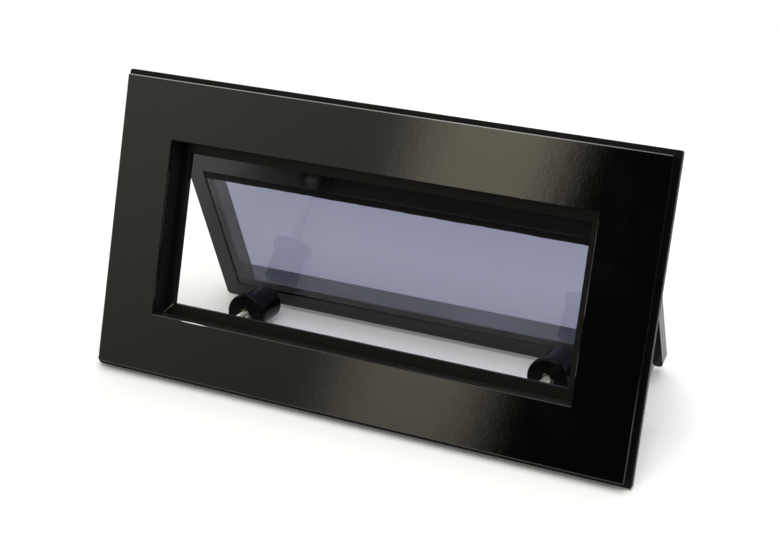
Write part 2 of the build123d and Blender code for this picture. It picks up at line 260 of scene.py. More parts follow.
def make_dust_group():
    """Specks of dust and short scratches."""
    tree, given, out = new_group(
        "Dust and scratches",
        {"Vector": ("NodeSocketVector", None), "Amount": ("NodeSocketFloat", 0.5)},
        {"Dust": "NodeSocketFloat", "Scratch": "NodeSocketFloat"})
    specks = add(tree, "ShaderNodeTexVoronoi", {"Vector": given["Vector"], "Scale": 420.0, "Randomness": 1.0})
    small = maths(tree, "LESS_THAN", specks.outputs["Distance"], SPECK_RADIUS)
    cell = add(tree, "ShaderNodeSeparateColor", {0: specks.outputs["Color"]}).outputs[0]
    chosen = maths(tree, "GREATER_THAN", cell, SPECK_CHOICE)
    speck = maths(tree, "MULTIPLY", small, chosen)
    tree.links.new(maths(tree, "MULTIPLY", speck, given["Amount"]), out["Dust"])
    turned = add(tree, "ShaderNodeMapping",
                 {"Vector": given["Vector"], "Rotation": (0.3, 0.5, 0.2), "Scale": (900, 60, 30)})
    lines = add(tree, "ShaderNodeTexNoise", {"Vector": turned.outputs[0], "Scale": 1.0, "Detail": 2.0})
    fine = smooth(tree, lines.outputs[0], *SCRATCH_LEVELS)
    tree.links.new(maths(tree, "MULTIPLY", fine, given["Amount"]), out["Scratch"])
    return tree


def make_turned_group():
    """Fine tool marks round or along a turned piece: noise drawn out across the given scale."""
    tree, given, out = new_group(
        "Tool marks",
        {"Vector": ("NodeSocketVector", None), "Stretch": ("NodeSocketVector", (4000, 300, 300)),
         "Roughness": ("NodeSocketFloat", 0.25), "Change": ("NodeSocketFloat", 0.15)},
        {"Height": "NodeSocketFloat", "Roughness": "NodeSocketFloat"})
    drawn = add(tree, "ShaderNodeVectorMath", {0: given["Vector"], 1: given["Stretch"]}, operation="MULTIPLY")
    marks = add(tree, "ShaderNodeTexNoise",
                {"Vector": drawn.outputs[0], "Scale": 1.0, "Detail": 3.0, "Roughness": 0.6})
    tree.links.new(marks.outputs[0], out["Height"])
    roughness = maths(tree, "MULTIPLY_ADD", marks.outputs[0], given["Change"], given["Roughness"])
    tree.links.new(roughness, out["Roughness"])
    return tree


def make_spot_group():
    """One worn spot at a place, as long along X, Y and Z as its reach, with a ragged outline."""
    tree, given, out = new_group(
        "Worn spot",
        {"Vector": ("NodeSocketVector", None), "Middle": ("NodeSocketVector", (0, 0, 0)),
         "Reach": ("NodeSocketVector", (1, 1, 1))},
        {"Worn": "NodeSocketFloat"})
    offset = add(tree, "ShaderNodeVectorMath", {0: given["Vector"], 1: given["Middle"]}, operation="SUBTRACT")
    share = add(tree, "ShaderNodeVectorMath", {0: offset.outputs[0], 1: given["Reach"]}, operation="DIVIDE")
    distance = add(tree, "ShaderNodeVectorMath", {0: share.outputs[0]}, operation="LENGTH").outputs["Value"]
    ragged = add(tree, "ShaderNodeTexNoise", {"Vector": given["Vector"], "Scale": 900.0, "Detail": 4.0})
    distance = maths(tree, "MULTIPLY_ADD", ragged.outputs[0], SPOT_RAGGED, distance)
    tree.links.new(smooth(tree, distance, *SPOT_EDGE, 1.0, 0.0), out["Worn"])
    return tree


def make_mitre_group():
    """The welded and ground diagonal joint at each corner of a rectangle about the origin of X and Z."""
    tree, given, out = new_group(
        "Mitre joint",
        {"Vector": ("NodeSocketVector", None), "Half width": ("NodeSocketFloat", 0.1),
         "Half height": ("NodeSocketFloat", 0.1), "Width": ("NodeSocketFloat", 0.0006)},
        {"Joint": "NodeSocketFloat"})
    place = add(tree, "ShaderNodeSeparateXYZ", {0: given["Vector"]}).outputs
    side = maths(tree, "SUBTRACT", maths(tree, "ABSOLUTE", place[0]), given["Half width"])
    end = maths(tree, "SUBTRACT", maths(tree, "ABSOLUTE", place[2]), given["Half height"])
    wander = add(tree, "ShaderNodeTexNoise", {"Vector": given["Vector"], "Scale": 300.0, "Detail": 2.0})
    shift = maths(tree, "MULTIPLY_ADD", wander.outputs[0], MITRE_WANDER, -MITRE_WANDER / 2)
    apart = maths(tree, "ADD", maths(tree, "SUBTRACT", side, end), shift)
    share = maths(tree, "DIVIDE", maths(tree, "ABSOLUTE", apart), given["Width"])
    tree.links.new(smooth(tree, share, *MITRE_EDGE, 1.0, 0.0), out["Joint"])
    return tree


PEEL = make_peel_group()
EDGE = make_edge_group()
SPOT = make_spot_group()
MITRE = make_mitre_group()
DUST = make_dust_group()
TOOL_MARKS = make_turned_group()


# Materials

def new_material(name):
    """An empty material, its node tree, its shader and its object coordinates."""
    material = bpy.data.materials.new(name)
    material.use_nodes = True
    tree = material.node_tree
    tree.nodes.clear()
    shader = add(tree, "ShaderNodeBsdfPrincipled")
    add(tree, "ShaderNodeOutputMaterial", {"Surface": shader.outputs[0]})
    return material, tree, shader, add(tree, "ShaderNodeTexCoord").outputs["Object"]


def bump(tree, height, depth):
    """A normal from a height whose full swing is the depth, in metres."""
    return add(tree, "ShaderNodeBump", {"Height": height, "Strength": 1.0, "Distance": depth}).outputs[0]


def turned_to_sash(tree, place):
    """Object coordinates as they are on the shut sash, about the middle of its face."""
    turn = {"Vector": place, "Location": HINGE_LINE, "Rotation": (radians(SASH_OPEN), 0, 0)}
    about_hinge = add(tree, "ShaderNodeMapping", turn, vector_type="TEXTURE").outputs[0]
    middle = {0: about_hinge, 1: SASH_MIDDLE - HINGE_LINE}
    return add(tree, "ShaderNodeVectorMath", middle, operation="SUBTRACT").outputs[0]


BLACK_PAINT = (0.0015, 0.0015, 0.0014, 1.0)
RUBBED_PAINT = (0.009, 0.009, 0.008, 1.0)
BARE_METAL = (0.62, 0.60, 0.55, 1.0)
DUST_COLOUR = (0.20, 0.19, 0.17, 1.0)
GLASS_TINT = (0.225, 0.235, 0.325, 1.0)
KNOB_BLACK = (0.0015, 0.0015, 0.0017, 1.0)
KNOB_SMUDGE = (0.003, 0.003, 0.003, 1.0)

# How deep the ground mitres lie, in heights of the orange peel; what handling, scratches, scuffs and dull
# spots add to roughness; and how many times paler scuffs are
MITRE_DEPTH = 4.0
PAINT_GLOSS_CHANGE = 0.025
SCRATCHED_PAINT = 0.12
SCRATCHED_PLASTIC = 0.15
SCUFFED_RUBBER = 0.15
SCUFF_PALER = 2.2
TARNISHED_METAL = 0.12

# The noise levels of the film on the glass, of scuffs and of dull spots; the film's roughness and the share of
# dust that shows on glass; and the depths of flow marks in plastic and of tool marks in metal
FILM_LEVELS = (0.5, 0.8)
SCUFF_LEVELS = (0.55, 0.75)
TARNISH_LEVELS = (0.5, 0.72)
FILM_ROUGHNESS = 0.035
DUST_ON_GLASS = 0.4
FLOW_MARK_DEPTH = 0.008 * MM
TOOL_MARK_DEPTH = 0.01 * MM


def black_paint(name, rectangles, roughness, gloss, wave_size, depth, dust,
                on_sash=False, mitre=None, spot=None):
    """Sprayed black paint, rubbed and chipped along the edges of rectangles, with mitres and a worn spot."""
    material, tree, shader, place = new_material(name)
    if on_sash:
        place = turned_to_sash(tree, place)
    paint = place_group(tree, PEEL, Vector=place, Wave_size=wave_size, Roughness=roughness,
                        Gloss_change=PAINT_GLOSS_CHANGE)
    specks = place_group(tree, DUST, Vector=place, Amount=dust)
    rubbed, chipped = 0.0, 0.0
    for half, reach, amount in rectangles:
        edge = place_group(tree, EDGE, Vector=place, Half_width=half[0], Half_height=half[1],
                           Reach=reach, Amount=amount)
        rubbed = maths(tree, "MAXIMUM", rubbed, edge["Rubbed"])
        chipped = maths(tree, "MAXIMUM", chipped, edge["Chipped"])
    height, worn_line = paint["Height"], 1.0
    if mitre:
        worn_line = place_group(tree, MITRE, Vector=place, Half_width=mitre[0], Half_height=mitre[1])["Joint"]
        height = maths(tree, "MULTIPLY_ADD", worn_line, -MITRE_DEPTH, height)
    if spot:
        worn = place_group(tree, SPOT, Vector=place, Middle=spot[0], Reach=spot[1])["Worn"]
        chipped = maths(tree, "MAXIMUM", chipped, maths(tree, "MULTIPLY", worn, worn_line))
    base = mixed(tree, rubbed, BLACK_PAINT, RUBBED_PAINT)
    base = mixed(tree, specks["Dust"], base, DUST_COLOUR)
    set_inputs(tree, shader, {
        "Base Color": mixed(tree, chipped, base, BARE_METAL),
        "Metallic": chipped,
        "Roughness": maths(tree, "MULTIPLY_ADD", specks["Scratch"], SCRATCHED_PAINT, paint["Roughness"]),
        "Normal": bump(tree, height, depth),
        "Specular IOR Level": gloss,
    })
    return material


def tinted_glass():
    """Clear blue-grey glass, smeared and dusty, that dims the lamps' light by its tint."""
    material, tree, shader, place = new_material("tinted_glass")
    smears = add(tree, "ShaderNodeTexNoise",
                 {"Vector": place, "Scale": 16.0, "Detail": 6.0, "Roughness": 0.65, "Distortion": 1.5})
    film = smooth(tree, smears.outputs[0], *FILM_LEVELS, 0.0, FILM_ROUGHNESS)
    specks = place_group(tree, DUST, Vector=place, Amount=0.5)
    dust = maths(tree, "MULTIPLY", specks["Dust"], DUST_ON_GLASS)
    one_face = tuple(channel ** 0.5 for channel in GLASS_TINT)
    set_inputs(tree, shader, {
        "Base Color": mixed(tree, dust, GLASS_TINT, DUST_COLOUR),
        "Roughness": film, "IOR": 1.5, "Transmission Weight": 1.0,
    })
    clear = add(tree, "ShaderNodeBsdfTransparent", {"Color": one_face})
    in_shadow = add(tree, "ShaderNodeLightPath").outputs["Is Shadow Ray"]
    lit = add(tree, "ShaderNodeMixShader", {0: in_shadow, 1: shader.outputs[0], 2: clear.outputs[0]})
    output = next(node for node in tree.nodes if node.type == "OUTPUT_MATERIAL")
    tree.links.new(lit.outputs[0], output.inputs["Surface"])
    return material


def soft_black(name, base, roughness, gloss, grain, depth):
    """Rubber or sealant, with a fine grain and paler scuffs."""
    material, tree, shader, place = new_material(name)
    fine = add(tree, "ShaderNodeTexNoise", {"Vector": place, "Scale": 1000.0 / grain, "Detail": 3.0})
    scuffs = add(tree, "ShaderNodeTexNoise",
                 {"Vector": place, "Scale": 45.0, "Detail": 5.0, "Roughness": 0.7})
    scuff = smooth(tree, scuffs.outputs[0], *SCUFF_LEVELS)
    pale = tuple(SCUFF_PALER * channel for channel in base[:3]) + (1.0,)
    set_inputs(tree, shader, {
        "Base Color": mixed(tree, scuff, base, pale),
        "Roughness": maths(tree, "MULTIPLY_ADD", scuff, SCUFFED_RUBBER, roughness),
        "Normal": bump(tree, fine.outputs[0], depth),
        "Specular IOR Level": gloss,
    })
    return material


def knob_plastic():
    """Moulded black plastic: glossy, with faint flow marks, a little dust and hairline scratches."""
    material, tree, shader, place = new_material("black_knob_plastic")
    paint = place_group(tree, PEEL, Vector=place, Wave_size=2.6, Roughness=0.22, Gloss_change=0.1)
    specks = place_group(tree, DUST, Vector=place, Amount=0.7)
    base = mixed(tree, paint["Smudge"], KNOB_BLACK, KNOB_SMUDGE)
    set_inputs(tree, shader, {
        "Base Color": mixed(tree, specks["Dust"], base, DUST_COLOUR),
        "Roughness": maths(tree, "MULTIPLY_ADD", specks["Scratch"], SCRATCHED_PLASTIC, paint["Roughness"]),
        "Normal": bump(tree, paint["Height"], FLOW_MARK_DEPTH),
        "Specular IOR Level": 0.12,
    })
    return material


def metal(name, base, dull, stretch, roughness, change):
    """Bare metal with tool marks and dull spots."""
    material, tree, shader, place = new_material(name)
    marks = place_group(tree, TOOL_MARKS, Vector=place, Stretch=stretch, Roughness=roughness, Change=change)
    spots = add(tree, "ShaderNodeTexNoise",
                {"Vector": place, "Scale": 180.0, "Detail": 4.0, "Roughness": 0.65})
    tarnish = smooth(tree, spots.outputs[0], *TARNISH_LEVELS)
    set_inputs(tree, shader, {
        "Base Color": mixed(tree, tarnish, base, dull), "Metallic": 1.0,
        "Roughness": maths(tree, "MULTIPLY_ADD", tarnish, TARNISHED_METAL, marks["Roughness"]),
        "Normal": bump(tree, marks["Height"], TOOL_MARK_DEPTH),
    })
    return material


# Worn to the metal, as a middle and a reach: the ring's lower inner edge near its left end, and the mitre in
# the lip's lower left corner
RING_WEAR = (Vector((-113, -6.5, -57.1)) * MM, Vector((11, 0.5, 0.5)) * MM)
LIP_WEAR = (Vector((-140.6, 6.4, -53.1)) * MM, Vector((5, 2, 5)) * MM)

ring_paint = black_paint(
    "black_satin_paint_ring", [(OPENING_HALF, 0.9 * MM, 0.35), (RING_HALF, 0.8 * MM, 0.2)],
    roughness=0.05, gloss=0.5, wave_size=2.2, depth=0.0065 * MM, dust=0.35, spot=RING_WEAR)
frame_paint = black_paint(
    "black_satin_paint_frame", [(OPENING_HALF, 0.7 * MM, 0.2)],
    roughness=0.42, gloss=0.18, wave_size=1.5, depth=0.012 * MM, dust=0.4, mitre=OPENING_HALF, spot=LIP_WEAR)
sash_paint = black_paint(
    "black_sash_paint", [(SASH_HALF, 1.0 * MM, 0.25)],
    roughness=0.1, gloss=0.36, wave_size=1.9, depth=0.004 * MM, dust=0.45, on_sash=True, mitre=SASH_HALF)
pane_glass = tinted_glass()
seal_rubber = soft_black(
    "seal_rubber", (0.006, 0.006, 0.006, 1.0), roughness=0.6, gloss=0.3, grain=0.35, depth=0.02 * MM)
sealant = soft_black(
    "sealant", (0.002, 0.002, 0.0022, 1.0), roughness=0.4, gloss=0.06, grain=1.2, depth=0.02 * MM)
bead_sealant = soft_black(
    "sealant_bead", (0.003, 0.003, 0.003, 1.0), roughness=0.12, gloss=0.5, grain=1.2, depth=0.01 * MM)
black_plastic = knob_plastic()
bare_steel = metal(
    "bare_steel", (0.60, 0.58, 0.53, 1.0), dull=(0.36, 0.34, 0.30, 1.0),
    stretch=(4000, 350, 350), roughness=0.22, change=0.2)
brass = metal(
    "brass", (0.78, 0.62, 0.36, 1.0), dull=(0.45, 0.33, 0.17, 1.0),
    stretch=(350, 4000, 4000), roughness=0.2, change=0.22)

FINISHES = {
    "trim_ring": ring_paint, "main_frame": frame_paint, "sash_frame": sash_paint, "hinge_arm": sash_paint,
    "hinge_bracket": frame_paint, "dog_lug": frame_paint, "frame_seal": seal_rubber,
    "glazing_sealant": bead_sealant, "glass_pane": pane_glass, "dog_knob": black_plastic,
    "knob_insert": brass, "dog_bolt": bare_steel, "dog_pin": bare_steel, "hinge_pin": bare_steel,
}


def finish_nodes():
    """Each CAD node gets the finish of its kind."""
    for name, node in nodes.items():
        kind = name.removesuffix("_left").removesuffix("_right")
        node.data.materials.clear()
        node.data.materials.append(FINISHES[kind])


# Modelling

def deselect():
    """Leaves edit mode and selects nothing."""
    if bpy.context.mode != "OBJECT":
        bpy.ops.object.mode_set(mode="OBJECT")
    bpy.ops.object.select_all(action="DESELECT")


def select_faces(piece, chosen):
    """In edit mode, selects the faces for which chosen says so."""
    mesh = bmesh.from_edit_mesh(piece.data)
    bpy.ops.mesh.select_mode(type="FACE")
    for face in mesh.faces:
        face.select_set(chosen(face))
    bmesh.update_edit_mesh(piece.data)


def select_edges(piece, chosen):
    """In edit mode, selects the edges for which chosen says so."""
    mesh = bmesh.from_edit_mesh(piece.data)
    bpy.ops.mesh.select_mode(type="EDGE")
    for edge in mesh.edges:
        edge.select_set(chosen(edge))
    bmesh.update_edit_mesh(piece.data)


def edge_height(edge):
    """The height of an edge's middle."""
    return (edge.verts[0].co.z + edge.verts[1].co.z) / 2


def is_level(edge):
    """Whether both ends of an edge are at one height."""
    return abs(edge.verts[0].co.z - edge.verts[1].co.z) < MERGE


def cut_away(piece, cutter):
    """Cuts one piece out of another and deletes the cutter."""
    modifier = piece.modifiers.new("cut", "BOOLEAN")
    modifier.operation = "DIFFERENCE"
    modifier.solver = "EXACT"
    modifier.object = cutter
    bpy.context.view_layer.objects.active = piece
    bpy.ops.object.modifier_apply(modifier=modifier.name)
    bpy.data.objects.remove(cutter)


def hex_socket(top):
    """A six-sided cutter that reaches down from the given height."""
    bpy.ops.mesh.primitive_cylinder_add(vertices=6, radius=SOCKET_R, depth=2 * SOCKET_DEPTH,
                                        location=(0, 0, top))
    bpy.ops.object.transform_apply(location=True, rotation=True, scale=True)
    return bpy.context.active_object


def countersunk_screw():
    """A countersunk socket screw along Z, with its head's face at the origin."""
    deselect()
    bpy.ops.mesh.primitive_cylinder_add(vertices=40, radius=FLANGE_SCREW_HEAD, depth=FLANGE_SCREW_CONE,
                                        location=(0, 0, -FLANGE_SCREW_CONE / 2))
    screw = bpy.context.active_object
    bpy.ops.object.transform_apply(location=True, rotation=False, scale=False)
    bpy.ops.object.mode_set(mode="EDIT")
    select_faces(screw, lambda face: face.normal.z < -0.9)
    shrink = FLANGE_SCREW_SHANK / FLANGE_SCREW_HEAD
    bpy.ops.transform.resize(value=(shrink, shrink, 1))
    shank = FLANGE_SCREW_LENGTH - FLANGE_SCREW_CONE
    bpy.ops.mesh.extrude_region_move(TRANSFORM_OT_translate={"value": (0, 0, -shank)})
    select_edges(screw, lambda edge: is_level(edge) and edge_height(edge) > -MERGE)
    bpy.ops.mesh.bevel(offset=FLANGE_SCREW_BEVEL, segments=3, affect="EDGES")
    bpy.ops.object.mode_set(mode="OBJECT")
    cut_away(screw, hex_socket(0.0))
    return screw


def button_screw():
    """A button-head socket screw along Z that stands on the origin's plane."""
    deselect()
    bpy.ops.mesh.primitive_cylinder_add(vertices=36, radius=BASE_SCREW_HEAD, depth=BASE_SCREW_HEIGHT,
                                        location=(0, 0, BASE_SCREW_HEIGHT / 2))
    screw = bpy.context.active_object
    bpy.ops.object.transform_apply(location=True, rotation=False, scale=False)
    bpy.ops.object.mode_set(mode="EDIT")
    select_edges(screw, lambda edge: is_level(edge) and edge_height(edge) > 0.9 * BASE_SCREW_HEIGHT)
    bpy.ops.mesh.bevel(offset=BASE_SCREW_ROUND * BASE_SCREW_HEIGHT, segments=6, affect="EDGES")
    bpy.ops.object.mode_set(mode="OBJECT")
    cut_away(screw, hex_socket(BASE_SCREW_HEIGHT))
    return screw


def rivet_head():
    """The closed end of a pin along Z: a low dome on a thin washer, standing on the origin's plane."""
    deselect()
    bpy.ops.mesh.primitive_cylinder_add(vertices=36, radius=RIVET_R, depth=RIVET_HEIGHT,
                                        location=(0, 0, RIVET_HEIGHT / 2))
    rivet = bpy.context.active_object
    bpy.ops.object.transform_apply(location=True, rotation=False, scale=False)
    bpy.ops.object.mode_set(mode="EDIT")
    select_faces(rivet, lambda face: face.normal.z > 0.9)
    bpy.ops.mesh.inset(thickness=RIVET_RIM)
    bpy.ops.mesh.extrude_region_move(TRANSFORM_OT_translate={"value": (0, 0, RIVET_DOME)})
    select_edges(rivet, lambda edge: is_level(edge) and edge_height(edge) > 1.5 * RIVET_HEIGHT)
    bpy.ops.mesh.bevel(offset=RIVET_DOME_BEVEL, segments=4, affect="EDGES")
    select_edges(rivet, lambda edge: is_level(edge) and abs(edge_height(edge) - RIVET_HEIGHT) < MERGE
                 and edge.calc_length() > 2 * RIVET_RIM_BEVEL)
    bpy.ops.mesh.bevel(offset=RIVET_RIM_BEVEL, segments=3, affect="EDGES")
    bpy.ops.object.mode_set(mode="OBJECT")
    return rivet


def smooth_shaded(piece):
    """Shades a piece smooth, apart from its sharp edges."""
    deselect()
    piece.select_set(True)
    bpy.context.view_layer.objects.active = piece
    bpy.ops.object.shade_smooth_by_angle(angle=radians(SHARP_ANGLE))


def settle(piece, name, body, finish):
    """Names a finished piece, gives it its finish and lets it ride on its body."""
    piece.name = name
    piece.data.name = name
    piece.data.materials.clear()
    piece.data.materials.append(finish)
    smooth_shaded(piece)
    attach(piece, body)


def copies(model, places, name, body, finish):
    """A copy of a model at each place, each with its own mesh, after which the model is deleted."""
    for number, place in enumerate(places, 1):
        piece = bpy.data.objects.new(name, model.data.copy())
        bpy.context.scene.collection.objects.link(piece)
        piece.data.transform(place)
        settle(piece, f"{name}_{number}", body, finish)
    bpy.data.objects.remove(model)


FACING_ROOM = Matrix.Rotation(-pi / 2, 4, "X")


def add_flange_screws():
    """Six screws that come through the flange from the room side."""
    places = []
    for x in (-FLANGE_SCREW_X, 0, FLANGE_SCREW_X):
        for z in (-FLANGE_SCREW_Z, FLANGE_SCREW_Z):
            turn = Matrix.Rotation(FLANGE_SCREW_TURN[0] * x + FLANGE_SCREW_TURN[1] * z, 4, "Z")
            places.append(Matrix.Translation((x, FLANGE_BACK, z)) @ FACING_ROOM @ turn)
    copies(countersunk_screw(), places, "flange_screw", "frame", bare_steel)


def add_base_screws():
    """Two button-head screws on the base of each hinge bracket and each lug."""
    for kind, inset in BASE_SCREW_INSET.items():
        places = []
        for name in SIDES:
            low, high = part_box(f"{kind}_{name}")
            for x in (low.x + inset, high.x - inset):
                places.append(Matrix.Translation((x, BASE_FRONT, (low.z + high.z) / 2)) @ FACING_ROOM)
        copies(button_screw(), places, f"{kind}_screw", "frame", bare_steel)


def add_pin_rivets():
    """The closed inner end of each pin."""
    for kind in ("hinge_pin", "dog_pin"):
        places = []
        for name, side in SIDES.items():
            low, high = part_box(f"{kind}_{name}")
            end = high.x if side < 0 else low.x
            middle = (low + high) / 2
            facing_inwards = Matrix.Rotation(-side * pi / 2, 4, "Y")
            places.append(Matrix.Translation((end, middle.y, middle.z)) @ facing_inwards)
        copies(rivet_head(), places, f"{kind}_rivet", "frame", bare_steel)


def threaded_rod(length):
    """A rod along Z with a rolled thread, cut square at both ends."""
    deselect()
    bpy.ops.mesh.primitive_plane_add(size=THREAD_PITCH)
    rod = bpy.context.active_object
    profile = bmesh.new()
    flat = THREAD_PITCH / 8
    crest = THREAD_PITCH / 2
    outline = [(THREAD_ROOT, 0), (THREAD_ROOT, flat), (THREAD_R, crest), (THREAD_R, crest + flat),
               (THREAD_ROOT, THREAD_PITCH)]
    points = [profile.verts.new((radius, 0, height)) for radius, height in outline]
    for first, second in zip(points, points[1:]):
        profile.edges.new((first, second))
    profile.to_mesh(rod.data)
    profile.free()
    screw = rod.modifiers.new("thread", "SCREW")
    screw.angle = 2 * pi
    screw.screw_offset = THREAD_PITCH
    screw.iterations = int(length / THREAD_PITCH) + 3
    screw.steps = screw.render_steps = THREAD_STEPS
    screw.use_merge_vertices = True
    screw.merge_threshold = MERGE
    bpy.ops.object.modifier_apply(modifier=screw.name)
    bpy.ops.object.mode_set(mode="EDIT")
    bpy.ops.mesh.select_all(action="SELECT")
    bpy.ops.mesh.remove_doubles(threshold=MERGE)
    bottom = 1.5 * THREAD_PITCH
    for height, outer, inner in ((bottom, False, True), (bottom + length, True, False)):
        bpy.ops.mesh.select_all(action="SELECT")
        bpy.ops.mesh.bisect(plane_co=(0, 0, height), plane_no=(0, 0, 1), use_fill=True,
                            clear_inner=inner, clear_outer=outer)
    bpy.ops.mesh.select_all(action="SELECT")
    bpy.ops.mesh.normals_make_consistent(inside=False)
    bpy.ops.transform.translate(value=(0, 0, -bottom))
    bpy.ops.object.mode_set(mode="OBJECT")
    return rod


def add_swing_bolts():
    """Each swing bolt: the eye and neck of its CAD node, with a threaded rod in place of its plain shank."""
    outward = Vector((0, cos(radians(DOG_RISE)), sin(radians(DOG_RISE))))
    for name in SIDES:
        node = nodes[f"dog_bolt_{name}"]
        pivot = DOG_PIVOTS[name]
        deselect()
        bolt = bpy.data.objects.new(f"swing_bolt_{name}", node.data.copy())
        bpy.context.scene.collection.objects.link(bolt)
        bolt.select_set(True)
        bpy.context.view_layer.objects.active = bolt
        bpy.ops.object.mode_set(mode="EDIT")
        bpy.ops.mesh.select_all(action="SELECT")
        bpy.ops.mesh.remove_doubles(threshold=MERGE)
        bpy.ops.mesh.bisect(plane_co=pivot + outward * THREAD_START, plane_no=outward,
                            use_fill=True, clear_outer=True)
        bpy.ops.object.mode_set(mode="OBJECT")
        rod = threaded_rod(THREAD_END - THREAD_START + THREAD_OVERLAP)
        along = outward.to_track_quat("Z", "X").to_matrix().to_4x4()
        rod.data.transform(Matrix.Translation(pivot + outward * (THREAD_START - THREAD_OVERLAP)) @ along)
        deselect()
        rod.select_set(True)
        bolt.select_set(True)
        bpy.context.view_layer.objects.active = bolt
        bpy.ops.object.join()
        settle(bolt, f"swing_bolt_{name}", f"dog_{name}", bare_steel)
        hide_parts(f"dog_bolt_{name}")


# The glazing sealant along the top of the pane: its place on the shut sash, its size, and the waves of its
# lower edge as heights in millimetres, turns in radians per millimetre and shifts
SMEAR_FRONT = 13.35 * MM
SMEAR_TOP = 52.0 * MM
SMEAR_HALF_LENGTH = 144.4 * MM
SMEAR_WIDTH = 6.2 * MM
SMEAR_THICKNESS = 0.45 * MM
SMEAR_BEVEL = 0.3 * MM
SMEAR_STEPS = 150
SMEAR_WAVES = [(0.12, 0.21, 0.0), (0.14, 0.083, 1.0), (0.08, 0.57, 2.0)]


def add_sealant_smear():
    """The sealant smoothed over the top of the pane in a thin strip, with a wavy lower edge."""
    deselect()
    bpy.ops.mesh.primitive_grid_add(x_subdivisions=SMEAR_STEPS, y_subdivisions=1, size=2)
    smear = bpy.context.active_object
    bpy.ops.object.mode_set(mode="EDIT")
    bpy.ops.transform.resize(value=(SMEAR_HALF_LENGTH, SMEAR_WIDTH / 2, 1))
    mesh = bmesh.from_edit_mesh(smear.data)
    for vertex in mesh.verts:
        if vertex.co.y < 0:
            along = vertex.co.x / MM
            vertex.co.y += sum(height * sin(turn * along + shift) for height, turn, shift in SMEAR_WAVES) * MM
    bmesh.update_edit_mesh(smear.data)
    bpy.ops.mesh.select_all(action="SELECT")
    bpy.ops.mesh.extrude_region_move(TRANSFORM_OT_translate={"value": (0, 0, SMEAR_THICKNESS)})
    select_edges(smear, lambda edge: all(v.co.y < 0 and v.co.z < SMEAR_THICKNESS / 2 for v in edge.verts))
    bpy.ops.mesh.bevel(offset=SMEAR_BEVEL, segments=3, affect="EDGES")
    bpy.ops.mesh.select_all(action="SELECT")
    bpy.ops.mesh.normals_make_consistent(inside=False)
    bpy.ops.object.mode_set(mode="OBJECT")
    facing_out = Matrix.Rotation(pi, 4, "Z") @ Matrix.Rotation(pi / 2, 4, "X")
    upright = Matrix.Translation((0, SMEAR_FRONT, SMEAR_TOP - SMEAR_WIDTH / 2)) @ facing_out
    swing = Matrix.Rotation(radians(SASH_OPEN), 4, "X")
    opened = Matrix.Translation(HINGE_LINE) @ swing @ Matrix.Translation(-HINGE_LINE)
    smear.data.transform(opened @ upright)
    settle(smear, "sealant_smear", "frame", sealant)


# Stage

WHITE = (1.0, 1.0, 1.0, 1.0)

# The table: how far it reaches, in metres, its colour, its lift to white, where it fades out, its gap to the
# part, and how far behind the flange's foot the part rests on it again
FLOOR_FRONT = 0.45
FLOOR_BACK = 4.0
FLOOR_HALF_WIDTH = 4.0
FLOOR_ALBEDO = 0.85
FLOOR_LIFT = 0.14
FLOOR_FADE = (0.5, 1.1)
FLOOR_GAP = 0.2 * MM
BEHIND_FOOT = 30 * MM

# The table's painted shade, its deepest, close behind the flange, where the lift to white is left out: its
# middle, fading ends and sides
PAINTED_SHADE_BEHIND = 0.03
PAINTED_SHADE_ENDS = (0.018, 0.045)
PAINTED_SHADE_SIDE = (0.16, 0.185)


def table_tilt():
    """The flange's foot, and the table's slope up to the first vertex behind it that meets the table."""
    foot = Vector((0, FLANGE_BACK, cad_box[0].z))
    offsets = (vertex.co - foot for node in nodes.values() for vertex in node.data.vertices)
    return foot, atan(min(offset.z / offset.y for offset in offsets if offset.y > BEHIND_FOOT))


def see_through(tree, shader, share):
    """A material's output that lets a share of what lies behind through, and all of it seen from below."""
    behind = add(tree, "ShaderNodeNewGeometry").outputs["Backfacing"]
    clear = add(tree, "ShaderNodeBsdfTransparent").outputs[0]
    shown = add(tree, "ShaderNodeMixShader", {0: maths(tree, "MAXIMUM", behind, share), 1: shader, 2: clear})
    add(tree, "ShaderNodeOutputMaterial", {"Surface": shown.outputs[0]})


def seen_straight(tree):
    """1 for rays from the camera, also through glass, and 0 for other rays."""
    rays = add(tree, "ShaderNodeLightPath").outputs
    return maths(tree, "MAXIMUM", rays["Is Camera Ray"], rays["Is Transmission Ray"])


def seen_at_all(tree):
    """1 for rays from the camera and those that paint, metal and glass send on, and 0 for other rays."""
    glossy = add(tree, "ShaderNodeLightPath").outputs["Is Glossy Ray"]
    return maths(tree, "MAXIMUM", seen_straight(tree), glossy)


